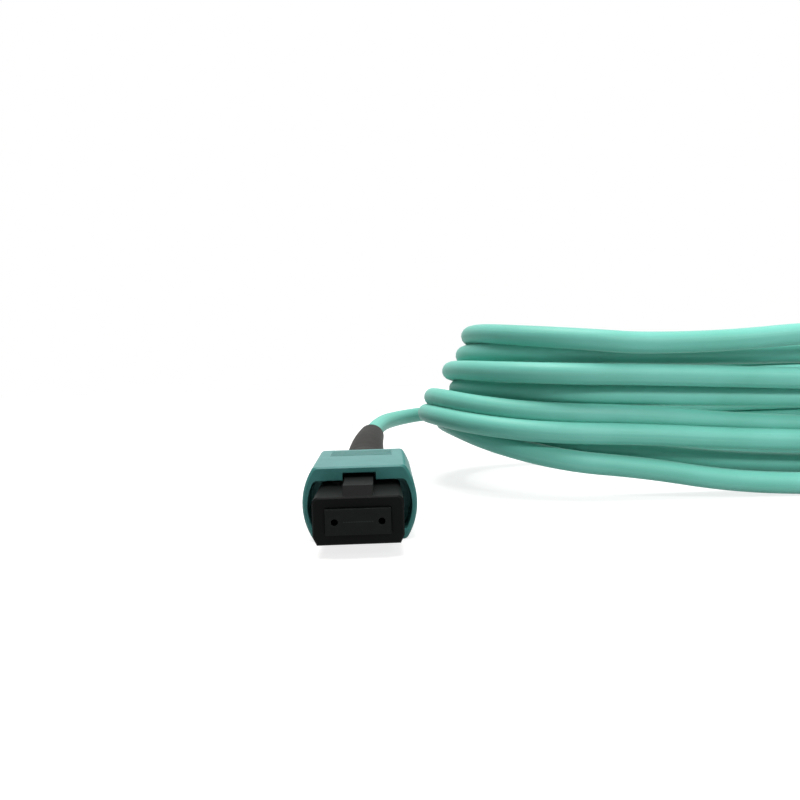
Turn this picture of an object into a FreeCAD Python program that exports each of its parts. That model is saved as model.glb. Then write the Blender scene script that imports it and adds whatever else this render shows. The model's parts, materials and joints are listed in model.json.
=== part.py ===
"""A 2 m MPO patch cord: two female 12-fibre plugs and a coiled 3 mm round cable.

Millimetres, +Z up. The first plug lies along Y with its ferrule facing -Y. The origin is on the
table, under the middle of that plug. A plug is drawn from its ferrule's face, y = 0, backwards.
"""

import FreeCAD, Part
import math
import os

V = FreeCAD.Vector

# Coupling sleeve
SLEEVE_WIDTH = 12.4
SLEEVE_HEIGHT = 8.1
SLEEVE_LENGTH = 16.0
SLEEVE_SETBACK = 7.0       # front rim behind the ferrule's face
SLEEVE_TOP_FLAT = 9.9      # width of the flat top, before its corners are rounded
SLEEVE_CORNER = 0.6
SLEEVE_FLARE = 0.6         # how much wider the rear rim is than the front rim
SLEEVE_EDGE = 0.2          # bevel on both rims
SLEEVE_SIDE_WALL = 0.55
SLEEVE_ROOF = 1.5
SLEEVE_FLOOR = 1.05
SLEEVE_PLAY = 0.25         # under the plug housing
SLEEVE_TOP_PLAY = 0.6      # over the plug housing, under the roof
SLEEVE_TRAVEL = 1.8
MOUTH_DEPTH = 3.5          # open front of the sleeve, as far as its inner ribs
MOUTH_FLAT = 9.8
RIB_LENGTH = 1.2
RIB_PLAY = 0.1
GRIP_GROOVES = 6
GRIP_PITCH = 0.9
GRIP_WIDTH = 7.6
GRIP_GROOVE = 0.4
GRIP_DEPTH = 0.15
GRIP_REAR_MARGIN = 1.6

# Plug housing
PLUG_WIDTH = 9.0
PLUG_WAIST = 8.1           # width behind the step that the sleeve's ribs stop on
PLUG_TOP_CORNER = 0.6
PLUG_BOTTOM_BEVEL = (0.4, 0.8)
PLUG_FRONT_BEVEL = 0.15
KEY_WIDTH = 3.0
KEY_HEIGHT = 0.9
KEY_SETBACK = 0.6          # behind the plug housing's front
KEY_SLOPE = 0.8
KEY_SIDE_PLAY = 0.3
KEY_TOP_PLAY = 0.5
KEY_WEB = 0.5              # end of the key before the plug housing's step
LATCH_START = 4.7          # notch that an adapter's hook drops into
LATCH_LENGTH = 3.0
LATCH_DEPTH = 0.55
LATCH_HEIGHT = 3.0
LATCH_RAMP = 0.8

# MT ferrule
FERRULE_WIDTH = 6.4
FERRULE_HEIGHT = 2.5
FERRULE_LENGTH = 8.0
FERRULE_PROUD = 0.5        # face ahead of the plug housing
FERRULE_PLAY = 0.06
FERRULE_TRAVEL = 0.8
FLANGE_LENGTH = 2.0
FLANGE_LIP = 0.3
GUIDE_HOLE = 0.7
GUIDE_SPACING = 4.6
FERRULE_WALL = 3.5         # solid front of the ferrule, ahead of the pocket for its boot
GLUE_WINDOW = (2.6, 1.4)

# Rubber boot in the ferrule and the fibres through it
FIBRE_BOOT_WIDTH = 3.3
FIBRE_BOOT_HEIGHT = 0.9
FIBRE_BOOT_LENGTH = 4.4
FIBRE_BOOT_PLAY = 0.05
RIBBON_WIDTH = 3.0
RIBBON_THICKNESS = 0.3
RIBBON_INSET = 1.0         # the ribbon's front end ahead of the pocket's floor
RIBBON_PLAY = 0.03
BUNDLE_DIAMETER = 1.1
BUNDLE_PLAY = 0.2          # left behind the fibres when the ferrule is pushed right back

# Pin keeper and springs
KEEPER_LENGTH = 2.2
KEEPER_PLAY = 0.1
KEEPER_BOSS = (3.8, 1.3, 0.7)
MAIN_SPRING_LENGTH = 5.0
MAIN_SPRING_WIRE = 0.5
MAIN_SPRING_WIDTH = 5.9
MAIN_SPRING_HEIGHT = 3.0
MAIN_SPRING_TURNS = 5
SIDE_SPRING_WIRE = 0.22
SIDE_SPRING_DIAMETER = 1.1
SIDE_SPRING_TURNS = 8
SIDE_SPRING_PLAY = 0.15
SPRING_BEND_STEPS = 5      # chords in each half turn
SPRING_SIDES = 6           # flats round the wire

# Rear body and crimp
TONGUE_LENGTH = 3.0
TONGUE_PLAY = 0.08
TONGUE_BORE = (4.2, 1.6)
HOOK_LENGTH = 1.2
HOOK_HEIGHT = 1.6
HOOK_PLAY = 0.1
HOOK_SETBACK = 0.8
REAR_FLANGE = 2.0
WING_REACH = 1.15          # past the waist on each side
WING_LENGTH = 1.5
WING_HEIGHT = 1.8
WING_PLAY = 0.15
POST_DIAMETER = 2.9
POST_LENGTH = 8.5
POST_BORE = 1.9
POST_GROOVES = 5
POST_GROOVE = 0.4
CRIMP_START = 0.6
CRIMP_LENGTH = 6.6
CRIMP_DIAMETER = 4.1
CRIMP_FLATS = 3.5          # hexagon left by the crimping tool
CRIMP_PLAY = 0.05
CRIMP_COLLAR = 0.9         # round end that the tool leaves at each end of the ring

# Strain-relief boot
BOOT_COLLAR = 4.9
BOOT_BASE_WIDTH = 8.6
BOOT_BASE_HEIGHT = 6.6
BOOT_END_WIDTH = 4.4
BOOT_END_HEIGHT = 4.2
BOOT_PLAY = 0.1
COLLAR_PLAY = 0.4          # behind the sleeve, when it is drawn back
BOOT_BEND_STEPS = 4

# Cable
CABLE = 3.0
CABLE_PLAY = 0.05          # in the boot

# Coil: the outer shape of its turns, a long ring that is raised at its left end
COIL_LEFT = 30.0           # centre of the left bend
COIL_RIGHT = 97.0
COIL_Y = 28.6
COIL_RADIUS = 19.5
COIL_BUNDLE = 6.0
COIL_TOP = ((6.0, 26.6), (36.0, 24.2), (121.0, 24.2))
COIL_TOUCHDOWN = 54.0      # from here to the right the coil lies on the table
COIL_LIFT = (6.0, 10.4)

FAR_X = 127.0              # second plug, beside the coil's right end and level with the first

# The cable's route where it isn't coiled, from each plug's crimp post to the coil
LEAD_POINTS = [
    (0.0, 22.6, 3.65), (0.2, 30.1, 6.3), (2.0, 43.7, 8.9), (6.5, 54.7, 9.4),
    (14.5, 63.2, 9.2), (26.0, 66.7, 7.4), (38.0, 63.2, 4.6), (49.0, 55.2, 2.2), (61.0, 49.7, 1.6),
]
TAIL_POINTS = [
    (127.0, 22.8, 3.65), (126.8, 31.5, 4.6), (123.0, 41.5, 7.6),
    (115.0, 48.8, 11.6), (104.0, 51.5, 15.6), (92.5, 49.5, 18.3),
]
BOOT_RUNS = 2              # whole runs of the route in the boot; it ends half way along the next

# Heights and places that follow from the sizes above
ROOF_UNDERSIDE = SLEEVE_HEIGHT - SLEEVE_ROOF
PLUG_TOP = ROOF_UNDERSIDE - SLEEVE_TOP_PLAY
PLUG_BOTTOM = SLEEVE_FLOOR + SLEEVE_PLAY
AXIS = (PLUG_TOP + PLUG_BOTTOM) / 2
FLANGE_WIDTH = FERRULE_WIDTH + 2 * FLANGE_LIP
FLANGE_HEIGHT = FERRULE_HEIGHT + 2 * FLANGE_LIP
CHAMBER_WIDTH = FLANGE_WIDTH + 2 * KEEPER_PLAY
CHAMBER_HEIGHT = FLANGE_HEIGHT + 2 * KEEPER_PLAY
FLANGE_FRONT = FERRULE_LENGTH - FLANGE_LENGTH
KEEPER_REAR = FERRULE_LENGTH + KEEPER_LENGTH
TONGUE_FRONT = KEEPER_REAR + MAIN_SPRING_LENGTH
PLUG_REAR = TONGUE_FRONT + TONGUE_LENGTH
FLANGE_REAR = PLUG_REAR + REAR_FLANGE
POST_REAR = FLANGE_REAR + POST_LENGTH
SLEEVE_REAR = SLEEVE_SETBACK + SLEEVE_LENGTH
STEP = SLEEVE_SETBACK + MOUTH_DEPTH
RIB_REAR = STEP + RIB_LENGTH
WING_WIDTH = PLUG_WAIST + 2 * WING_REACH
BOOT_SHOULDER = SLEEVE_REAR + SLEEVE_TRAVEL + COLLAR_PLAY


def block(width, y0, y1, z0, z1, x=0.0):
    """A box centred on x."""
    return Part.makeBox(width, y1 - y0, z1 - z0, V(x - width / 2, y0, z0))


def bar(width, height, y0, y1):
    """A box centred on the plug's axis."""
    return block(width, y0, y1, AXIS - height / 2, AXIS + height / 2)


def rod(diameter, y0, y1, x=0.0):
    """A cylinder beside the plug's axis, or on it."""
    return Part.makeCylinder(diameter / 2, y1 - y0, V(x, y0, AXIS), V(0, 1, 0))


def side_prism(points, width, x=0.0):
    """An outline of (y, z) points drawn out to a width along X, centred on x."""
    corners = [V(x - width / 2, y, z) for y, z in points]
    return Part.Face(Part.makePolygon(corners + corners[:1])).extrude(V(width, 0, 0))


def plan_prism(points, z0, z1):
    """An outline of (x, y) points drawn up from z0 to z1."""
    corners = [V(x, y, z0) for x, y in points]
    return Part.Face(Part.makePolygon(corners + corners[:1])).extrude(V(0, 0, z1 - z0))


def closed_wire(points, arcs):
    """A wire through the points in order; arcs[i] is the middle of the arc from point i, or None."""
    edges = []
    for i, start in enumerate(points):
        end = points[(i + 1) % len(points)]
        curve = Part.LineSegment(start, end) if arcs[i] is None else Part.Arc(start, arcs[i], end)
        edges.append(curve.toShape())
    return Part.Wire(edges)


def bowed_outline(flat, width, z0, z1, corner, y):
    """Flat top and bottom, sides bowed out to the full width, and four rounded corners."""
    middle = (z0 + z1) / 2
    half_height = (z1 - z0) / 2
    bow = (width - flat) / 2
    side_radius = (half_height**2 + bow**2) / (2 * bow)
    side_centre = width / 2 - side_radius
    rise = half_height - corner
    corner_x = side_centre + math.sqrt((side_radius - corner) ** 2 - rise**2)
    tilt = math.atan2(rise, corner_x - side_centre)
    half_turn = (tilt + math.pi / 2) / 2
    flat_end = (corner_x, half_height)
    corner_mid = (corner_x + corner * math.cos(half_turn), rise + corner * math.sin(half_turn))
    side_end = (side_centre + side_radius * math.cos(tilt), side_radius * math.sin(tilt))

    def at(point, sx, sz):
        return V(sx * point[0], y, middle + sz * point[1])

    points, arcs = [], []
    for sx, sz, ends in ((1, 1, (flat_end, side_end)), (1, -1, (side_end, flat_end)),
                         (-1, -1, (flat_end, side_end)), (-1, 1, (side_end, flat_end))):
        points += [at(ends[0], sx, sz), at(ends[1], sx, sz)]
        after = V(sx * width / 2, y, middle) if ends[1] is side_end else None
        arcs += [at(corner_mid, sx, sz), after]
    return closed_wire(points, arcs)


def plug_outline(width, inset, y):
    """The plug housing's section: rounded at the top, bevelled at the bottom, drawn in by inset."""
    half, top, bottom = width / 2 - inset, PLUG_TOP - inset, PLUG_BOTTOM + inset
    bevel_x, bevel_z = PLUG_BOTTOM_BEVEL
    r = PLUG_TOP_CORNER
    k = r * (1 - math.sqrt(0.5))
    points = [V(half - r, y, top), V(half, y, top - r), V(half, y, bottom + bevel_z),
              V(half - bevel_x, y, bottom), V(bevel_x - half, y, bottom), V(-half, y, bottom + bevel_z),
              V(-half, y, top - r), V(r - half, y, top)]
    arcs = [None] * len(points)
    arcs[0] = V(half - k, y, top - k)
    arcs[6] = V(k - half, y, top - k)
    return closed_wire(points, arcs)


def plug_prism(width, y0, y1):
    return Part.Face(plug_outline(width, 0.0, y0)).extrude(V(0, y1 - y0, 0))


def grip_grooves():
    """Cross grooves for the fingers, in the sleeve's top and bottom."""
    cuts = []
    for i in range(GRIP_GROOVES):
        y = SLEEVE_REAR - GRIP_REAR_MARGIN - i * GRIP_PITCH
        cuts.append(block(GRIP_WIDTH, y - GRIP_GROOVE, y, SLEEVE_HEIGHT - GRIP_DEPTH, SLEEVE_HEIGHT + 1))
        cuts.append(block(GRIP_WIDTH, y - GRIP_GROOVE, y, -1, GRIP_DEPTH))
    return cuts


def coupling_sleeve():
    def rim(y, extra, inset):
        return bowed_outline(SLEEVE_TOP_FLAT + extra - 2 * inset, SLEEVE_WIDTH + extra - 2 * inset,
                             inset, SLEEVE_HEIGHT - inset, SLEEVE_CORNER, y)

    shell = Part.makeLoft([rim(SLEEVE_SETBACK, 0, SLEEVE_EDGE), rim(SLEEVE_SETBACK + SLEEVE_EDGE, 0, 0),
                           rim(SLEEVE_REAR - SLEEVE_EDGE, SLEEVE_FLARE, 0),
                           rim(SLEEVE_REAR, SLEEVE_FLARE, SLEEVE_EDGE)], True, True)
    mouth_wire = bowed_outline(MOUTH_FLAT, SLEEVE_WIDTH - 2 * SLEEVE_SIDE_WALL, SLEEVE_FLOOR,
                               ROOF_UNDERSIDE, SLEEVE_CORNER, SLEEVE_SETBACK - 1)
    mouth = Part.Face(mouth_wire).extrude(V(0, MOUTH_DEPTH + 1, 0))
    waist = block(PLUG_WAIST + 2 * RIB_PLAY, SLEEVE_SETBACK, SLEEVE_REAR + 1,
                  SLEEVE_FLOOR, ROOF_UNDERSIDE)
    channels = bar(WING_WIDTH + 2 * WING_PLAY, WING_HEIGHT + 2 * WING_PLAY, RIB_REAR, SLEEVE_REAR + 1)
    keyway = block(KEY_WIDTH + 2 * KEY_SIDE_PLAY, SLEEVE_SETBACK - 1, STEP, AXIS,
                   PLUG_TOP + KEY_HEIGHT + KEY_TOP_PLAY)
    return shell.cut([mouth, waist, channels, keyway] + grip_grooves())


def latch_notch(side):
    """The notch in one side of the plug housing: a ramp at its front and a square shoulder behind."""
    outer = side * (PLUG_WIDTH / 2 + 1)
    lip = side * PLUG_WIDTH / 2
    floor = side * (PLUG_WIDTH / 2 - LATCH_DEPTH)
    rear = LATCH_START + LATCH_LENGTH
    points = [(outer, LATCH_START), (lip, LATCH_START), (floor, LATCH_START + LATCH_RAMP),
              (floor, rear), (outer, rear)]
    return plan_prism(points, AXIS - LATCH_HEIGHT / 2, AXIS + LATCH_HEIGHT / 2)


def key():
    front = FERRULE_PROUD + KEY_SETBACK
    rear = STEP - KEY_WEB
    top = PLUG_TOP + KEY_HEIGHT
    root = PLUG_TOP - PLUG_TOP_CORNER
    points = [(front, root), (front, PLUG_TOP), (front + KEY_SLOPE, top), (rear, top), (rear, root)]
    return side_prism(points, KEY_WIDTH)


def plug_housing():
    front = FERRULE_PROUD
    nose = Part.makeLoft([plug_outline(PLUG_WIDTH, PLUG_FRONT_BEVEL, front),
                          plug_outline(PLUG_WIDTH, 0.0, front + PLUG_FRONT_BEVEL)], True, True)
    body = nose.fuse([plug_prism(PLUG_WIDTH, front + PLUG_FRONT_BEVEL, STEP),
                      plug_prism(PLUG_WAIST, STEP, PLUG_REAR), key()]).removeSplitter()
    bore = bar(FERRULE_WIDTH + 2 * FERRULE_PLAY, FERRULE_HEIGHT + 2 * FERRULE_PLAY,
               front - 1, FLANGE_FRONT)
    chamber = bar(CHAMBER_WIDTH, CHAMBER_HEIGHT, FLANGE_FRONT, PLUG_REAR + 1)
    hook_rear = PLUG_REAR - HOOK_SETBACK
    windows = bar(PLUG_WIDTH, HOOK_HEIGHT + 2 * HOOK_PLAY, hook_rear - HOOK_LENGTH - HOOK_PLAY,
                  hook_rear + HOOK_PLAY)
    return body.cut([bore, chamber, windows, latch_notch(-1), latch_notch(1)])


def mt_ferrule():
    body = bar(FERRULE_WIDTH, FERRULE_HEIGHT, 0, FLANGE_FRONT)
    flange = bar(FLANGE_WIDTH, FLANGE_HEIGHT, FLANGE_FRONT, FERRULE_LENGTH)
    holes = [rod(GUIDE_HOLE, -1, FERRULE_LENGTH + 1, side * GUIDE_SPACING / 2) for side in (-1, 1)]
    pocket = bar(FIBRE_BOOT_WIDTH + 2 * FIBRE_BOOT_PLAY, FIBRE_BOOT_HEIGHT + 2 * FIBRE_BOOT_PLAY,
                 FERRULE_WALL, FERRULE_LENGTH + 1)
    ribbon_slot = bar(RIBBON_WIDTH + 2 * RIBBON_PLAY, RIBBON_THICKNESS + 2 * RIBBON_PLAY,
                      FERRULE_WALL - RIBBON_INSET, FERRULE_LENGTH)
    width, length = GLUE_WINDOW
    glue_window = block(width, FERRULE_WALL, FERRULE_WALL + length, AXIS, AXIS + FERRULE_HEIGHT)
    return body.fuse(flange).removeSplitter().cut(holes + [pocket, ribbon_slot, glue_window])


def ferrule_boot():
    rear = KEEPER_REAR
    body = bar(FIBRE_BOOT_WIDTH, FIBRE_BOOT_HEIGHT, rear - FIBRE_BOOT_LENGTH, rear)
    slot = bar(RIBBON_WIDTH + 2 * RIBBON_PLAY, RIBBON_THICKNESS + 2 * RIBBON_PLAY, 0, rear + 1)
    return body.cut(slot)


def fibre_bundle():
    """Twelve fibres: side by side as far as the spring, then drawn into a round bundle."""
    flat_end = KEEPER_REAR + KEEPER_BOSS[2]
    flat = bar(RIBBON_WIDTH, RIBBON_THICKNESS, FERRULE_WALL - RIBBON_INSET, flat_end)
    square = BUNDLE_DIAMETER * math.sqrt(0.5)

    def oblong(width, height, y):
        x, z = width / 2, height / 2
        corners = [V(-x, y, AXIS - z), V(x, y, AXIS - z), V(x, y, AXIS + z), V(-x, y, AXIS + z)]
        return Part.makePolygon(corners + corners[:1])

    gather = Part.makeLoft([oblong(RIBBON_WIDTH, RIBBON_THICKNESS, flat_end),
                            oblong(square, square, TONGUE_FRONT)], True, True)
    round_part = rod(BUNDLE_DIAMETER, TONGUE_FRONT, POST_REAR - FERRULE_TRAVEL - BUNDLE_PLAY)
    return flat.fuse([gather, round_part])


def pin_keeper():
    plate = bar(FLANGE_WIDTH, FLANGE_HEIGHT, FERRULE_LENGTH, KEEPER_REAR)
    boss_width, boss_height, boss_length = KEEPER_BOSS
    boss = bar(boss_width, boss_height, KEEPER_REAR, KEEPER_REAR + boss_length)
    window = bar(FIBRE_BOOT_WIDTH + 2 * FIBRE_BOOT_PLAY, FIBRE_BOOT_HEIGHT + 2 * FIBRE_BOOT_PLAY,
                 FERRULE_LENGTH - 1, KEEPER_REAR + boss_length + 1)
    holes = [rod(GUIDE_HOLE, FERRULE_LENGTH - 1, KEEPER_REAR + 1, side * GUIDE_SPACING / 2)
             for side in (-1, 1)]
    return plate.fuse(boss).removeSplitter().cut([window] + holes)


def regular_polygon(centre, across, up, radius, sides):
    """A regular polygon through points at a radius, its first corner in the direction across."""
    corners = []
    for i in range(sides):
        angle = 2 * math.pi * i / sides
        corners.append(centre + (across * math.cos(angle) + up * math.sin(angle)) * radius)
    return Part.makePolygon(corners + corners[:1])


def wire_section(before, centre, after, radius):
    """The section of a spring's wire at one point of its path, square to the path there."""
    along = after - before
    across = along.cross(V(0, 1, 0)).normalize()
    up = along.cross(across).normalize()
    return regular_polygon(centre, across, up, radius, SPRING_SIDES)


def spring(width, height, wire, turns, y0, y1, x=0.0):
    """A coil spring along Y on an oval or round path, half a turn at each end lying flat."""
    radius = (height - wire) / 2
    straight = width - height
    bend_steps = SPRING_BEND_STEPS
    loop = [(straight / 2 + radius * math.sin(a), -radius * math.cos(a))
            for a in (math.pi * i / bend_steps for i in range(bend_steps + 1))]
    loop += [(-across, -up) for across, up in loop]
    if straight == 0:
        loop = loop[:bend_steps] + loop[bend_steps + 1:-1]
    points = []
    for i in range(len(loop) * turns + 1):
        across, up = loop[i % len(loop)]
        climb = min(max((i / len(loop) - 0.5) / (turns - 1), 0.0), 1.0)
        points.append(V(x + across, y0 + wire / 2 + (y1 - y0 - wire) * climb, AXIS + up))
    neighbours = zip(points[:1] + points, points, points[1:] + points[-1:])
    sections = [wire_section(before, point, after, wire / 2) for before, point, after in neighbours]
    return Part.makeLoft(sections, True, True)


def main_spring():
    return spring(MAIN_SPRING_WIDTH, MAIN_SPRING_HEIGHT, MAIN_SPRING_WIRE, MAIN_SPRING_TURNS,
                  KEEPER_REAR, TONGUE_FRONT)


def sleeve_spring(side):
    x = side * (PLUG_WAIST / 2 + SIDE_SPRING_PLAY + SIDE_SPRING_DIAMETER / 2)
    return spring(SIDE_SPRING_DIAMETER, SIDE_SPRING_DIAMETER, SIDE_SPRING_WIRE, SIDE_SPRING_TURNS,
                  RIB_REAR, PLUG_REAR, x)


def snap_hook(side, half):
    """A ramp on one side of the tongue, at x = half, that snaps into the plug housing's window."""
    rear = PLUG_REAR - HOOK_SETBACK
    front = rear - HOOK_LENGTH
    root = half - HOOK_PLAY
    tip = PLUG_WAIST / 2
    points = [(side * root, front), (side * half, front), (side * tip, rear), (side * root, rear)]
    return plan_prism(points, AXIS - HOOK_HEIGHT / 2, AXIS + HOOK_HEIGHT / 2)


def rear_body():
    tongue_width = CHAMBER_WIDTH - 2 * TONGUE_PLAY
    tongue = bar(tongue_width, CHAMBER_HEIGHT - 2 * TONGUE_PLAY, TONGUE_FRONT, PLUG_REAR)
    hooks = [snap_hook(side, tongue_width / 2) for side in (-1, 1)]
    flange = plug_prism(PLUG_WAIST, PLUG_REAR, FLANGE_REAR)
    wings = bar(WING_WIDTH, WING_HEIGHT, PLUG_REAR, PLUG_REAR + WING_LENGTH)
    post = rod(POST_DIAMETER, FLANGE_REAR, POST_REAR)
    solid = tongue.fuse(hooks + [flange, wings, post]).removeSplitter()
    width, height = TONGUE_BORE
    cuts = [bar(width, height, TONGUE_FRONT - 1, PLUG_REAR), rod(POST_BORE, TONGUE_FRONT, POST_REAR + 1)]
    pitch = POST_LENGTH / (POST_GROOVES + 1)
    for i in range(POST_GROOVES):
        y = FLANGE_REAR + (i + 1) * pitch
        core = rod(POST_DIAMETER - POST_GROOVE, y, y + POST_GROOVE)
        cuts.append(rod(POST_DIAMETER + 1, y, y + POST_GROOVE).cut(core))
    return solid.cut(cuts)


def crimp_ring():
    """A metal ring squeezed to a hexagon between its two round ends."""
    y0 = FLANGE_REAR + CRIMP_START
    y1 = y0 + CRIMP_LENGTH
    hexagon = regular_polygon(V(0, y0 + CRIMP_COLLAR, AXIS), V(1, 0, 0), V(0, 0, 1),
                              CRIMP_FLATS / math.sqrt(3), 6)
    flats = Part.Face(hexagon).extrude(V(0, CRIMP_LENGTH - 2 * CRIMP_COLLAR, 0))
    ends = [rod(CRIMP_DIAMETER, y0, y0 + CRIMP_COLLAR), rod(CRIMP_DIAMETER, y1 - CRIMP_COLLAR, y1)]
    return flats.fuse(ends).cut(rod(POST_DIAMETER + 2 * CRIMP_PLAY, y0 - 1, y1 + 1))


def route_edges(points):
    """Straight runs joined by arcs, each as large as its two runs allow: line, arc, line, ... line."""
    edges, radii, start = [], [], points[0]
    for before, corner, after in zip(points, points[1:], points[2:]):
        inward, outward = corner - before, after - corner
        setback = 0.45 * min(inward.Length, outward.Length)
        turn = inward.getAngle(outward)
        radius = setback / math.tan(turn / 2)
        a = corner - inward.normalize() * setback
        b = corner + outward.normalize() * setback
        bisector = (a + b) * 0.5 - corner
        middle = corner + bisector.normalize() * (radius / math.cos(turn / 2) - radius)
        edges += [Part.LineSegment(start, a).toShape(), Part.Arc(a, middle, b).toShape()]
        radii.append(radius)
        start = b
    edges.append(Part.LineSegment(start, points[-1]).toShape())
    return edges, radii


def ring(edge, parameter, diameter):
    """A circle round an edge, square to it."""
    circle = Part.Circle(edge.valueAt(parameter), edge.tangentAt(parameter), diameter / 2)
    return Part.Wire([circle.toShape()])


def tube(edges, diameter):
    """A round solid along joined straight and arc edges."""
    pieces = []
    for edge in edges:
        curve = edge.Curve
        disc = Part.Face(ring(edge, edge.FirstParameter, diameter))
        if isinstance(curve, Part.Circle):
            turn = math.degrees(edge.Length / curve.Radius)
            pieces.append(disc.revolve(curve.Center, curve.Axis, turn))
        else:
            pieces.append(disc.extrude(edge.tangentAt(edge.FirstParameter) * edge.Length))
    return pieces[0].fuse(pieces[1:])


def oval(edge, parameter, width, height):
    """An ellipse across an edge, its width level."""
    centre, along = edge.valueAt(parameter), edge.tangentAt(parameter)
    across = along.cross(V(0, 0, 1)).normalize()
    up = across.cross(along)
    return Part.Wire([Part.Ellipse(centre + across * (width / 2), centre + up * (height / 2),
                                   centre).toShape()])


def taper(edges, base, end):
    """An oval solid along joined edges that narrows evenly, with several short steps in each arc."""
    total = sum(edge.Length for edge in edges)
    sections, before = [], 0.0
    for edge in edges:
        steps = BOOT_BEND_STEPS if isinstance(edge.Curve, Part.Circle) else 1
        first = 1 if sections else 0
        for i in range(first, steps + 1):
            parameter = edge.FirstParameter + (edge.LastParameter - edge.FirstParameter) * i / steps
            done = (before + edge.Length * i / steps) / total
            width, height = (a + (b - a) * done for a, b in zip(base, end))
            sections.append(oval(edge, parameter, width, height))
        before += edge.Length
    return Part.makeLoft(sections, True, True)


def plug_route(face, points):
    """The route from a plug's crimp post on, as vectors."""
    return [face + V(0, POST_REAR, AXIS)] + [V(*point) for point in points]


def strain_relief_boot(edges, face):
    """A soft boot: a round collar inside the sleeve, then an oval taper that bends with the cable."""
    run = edges[2 * BOOT_RUNS]
    start, end = run.valueAt(run.FirstParameter), run.valueAt(run.LastParameter)
    middle = (start + end) * 0.5
    shoulder = face + V(0, BOOT_SHOULDER, AXIS)
    first = edges[0]
    lead_in = Part.LineSegment(shoulder, first.valueAt(first.LastParameter)).toShape()
    spine = [lead_in] + edges[1:2 * BOOT_RUNS] + [Part.LineSegment(start, middle).toShape()]
    body = taper(spine, (BOOT_BASE_WIDTH, BOOT_BASE_HEIGHT), (BOOT_END_WIDTH, BOOT_END_HEIGHT))
    collar = rod(BOOT_COLLAR, FLANGE_REAR, BOOT_SHOULDER).translate(face)
    ring_bore = rod(CRIMP_DIAMETER + 2 * BOOT_PLAY, FLANGE_REAR, POST_REAR).translate(face)
    cable_bore = tube(edges[:2 * BOOT_RUNS + 1], CABLE + 2 * CABLE_PLAY)
    return body.fuse(collar).removeSplitter().cut([ring_bore, cable_bore])


def cable_run(name, points):
    edges, radii = route_edges(points)
    shape = tube(edges, CABLE)
    length = sum(edge.Length for edge in edges)
    share = shape.Volume / (math.pi * CABLE**2 / 4 * length)
    print(name, "length", round(length, 1), "radii", [round(radius, 1) for radius in radii])
    print(name, "volume as a share of section times length", round(share, 4))
    return edges, shape


def stadium(radius, z1):
    """A long rounded plate round the coil's middle line."""
    left, right = COIL_LEFT, COIL_RIGHT
    points = [V(left, COIL_Y - radius, 0), V(right, COIL_Y - radius, 0),
              V(right, COIL_Y + radius, 0), V(left, COIL_Y + radius, 0)]
    arcs = [None, V(right + radius, COIL_Y, 0), None, V(left - radius, COIL_Y, 0)]
    return Part.Face(closed_wire(points, arcs)).extrude(V(0, 0, z1))


def cable_coil():
    """The outer shape of the coil: a long ring of turns, its left end bent up off the table."""
    height = max(z for _, z in COIL_TOP)
    half = COIL_BUNDLE / 2
    ring = stadium(COIL_RADIUS + half, height).cut(stadium(COIL_RADIUS - half, height))
    depth = 2 * (COIL_RADIUS + COIL_BUNDLE)
    near = COIL_Y - depth / 2

    def across(points):
        corners = [V(x, near, z) for x, z in points]
        return Part.Face(Part.makePolygon(corners + corners[:1])).extrude(V(0, depth, 0))

    above = across(list(COIL_TOP) + [(COIL_TOP[-1][0], height + 1), (COIL_TOP[0][0], height + 1)])
    lift_x, lift_z = COIL_LIFT
    below = across([(COIL_TOUCHDOWN, 0), (lift_x, lift_z), (lift_x - 1, lift_z), (lift_x - 1, -1),
                    (COIL_TOUCHDOWN, -1)])
    return ring.cut([above, below])


def plug_parts():
    """The pieces of one plug, from its ferrule's face backwards; its boot follows the cable."""
    return {
        "coupling_sleeve": coupling_sleeve(),
        "left_sleeve_spring": sleeve_spring(-1),
        "right_sleeve_spring": sleeve_spring(1),
        "plug_housing": plug_housing(),
        "mt_ferrule": mt_ferrule(),
        "ferrule_boot": ferrule_boot(),
        "fibre_bundle": fibre_bundle(),
        "pin_keeper": pin_keeper(),
        "main_spring": main_spring(),
        "rear_body": rear_body(),
        "crimp_ring": crimp_ring(),
    }


def build():
    nodes = {}
    seats = (("", 0.0, "cable_lead", LEAD_POINTS), ("far_", FAR_X, "cable_tail", TAIL_POINTS))
    for prefix, x, run_name, points in seats:
        face = V(x, -POST_REAR / 2, 0)
        for name, shape in plug_parts().items():
            nodes[prefix + name] = shape.translate(face)
        edges, nodes[run_name] = cable_run(run_name, plug_route(face, points))
        nodes[prefix + "strain_relief_boot"] = strain_relief_boot(edges, face)
    nodes["cable_coil"] = cable_coil()
    return nodes


os.makedirs("parts", exist_ok=True)
for node, shape in build().items():
    shape.exportStep(os.path.join("parts", node + ".step"))
    print(node, "solids", len(shape.Solids), "valid", shape.isValid(), "mm3", round(shape.Volume, 2))
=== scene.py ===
import json
import math

import bpy
from mathutils import Matrix, Vector


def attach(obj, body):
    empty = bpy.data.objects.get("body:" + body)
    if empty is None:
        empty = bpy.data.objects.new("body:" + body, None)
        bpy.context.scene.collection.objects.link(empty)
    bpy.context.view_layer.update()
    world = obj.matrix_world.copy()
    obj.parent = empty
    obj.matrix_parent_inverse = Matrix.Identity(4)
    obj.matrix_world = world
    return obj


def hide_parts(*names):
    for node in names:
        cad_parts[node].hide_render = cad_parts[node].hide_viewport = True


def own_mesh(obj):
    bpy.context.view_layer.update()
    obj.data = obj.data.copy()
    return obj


# Sizes and places are in millimetres until MM turns them to metres, unless a comment says metres.
MM = 0.001
AXIS = 3.65                            # height of the plug's axis, which runs along Y
FACE_Y = -14.35                        # the ferrule's end face
FAR_X = 127.0                          # how far the second plug lies to the right
FIBRES = 12
FIBRE_PITCH = 0.25
CABLE_RADIUS = 1.5

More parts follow.
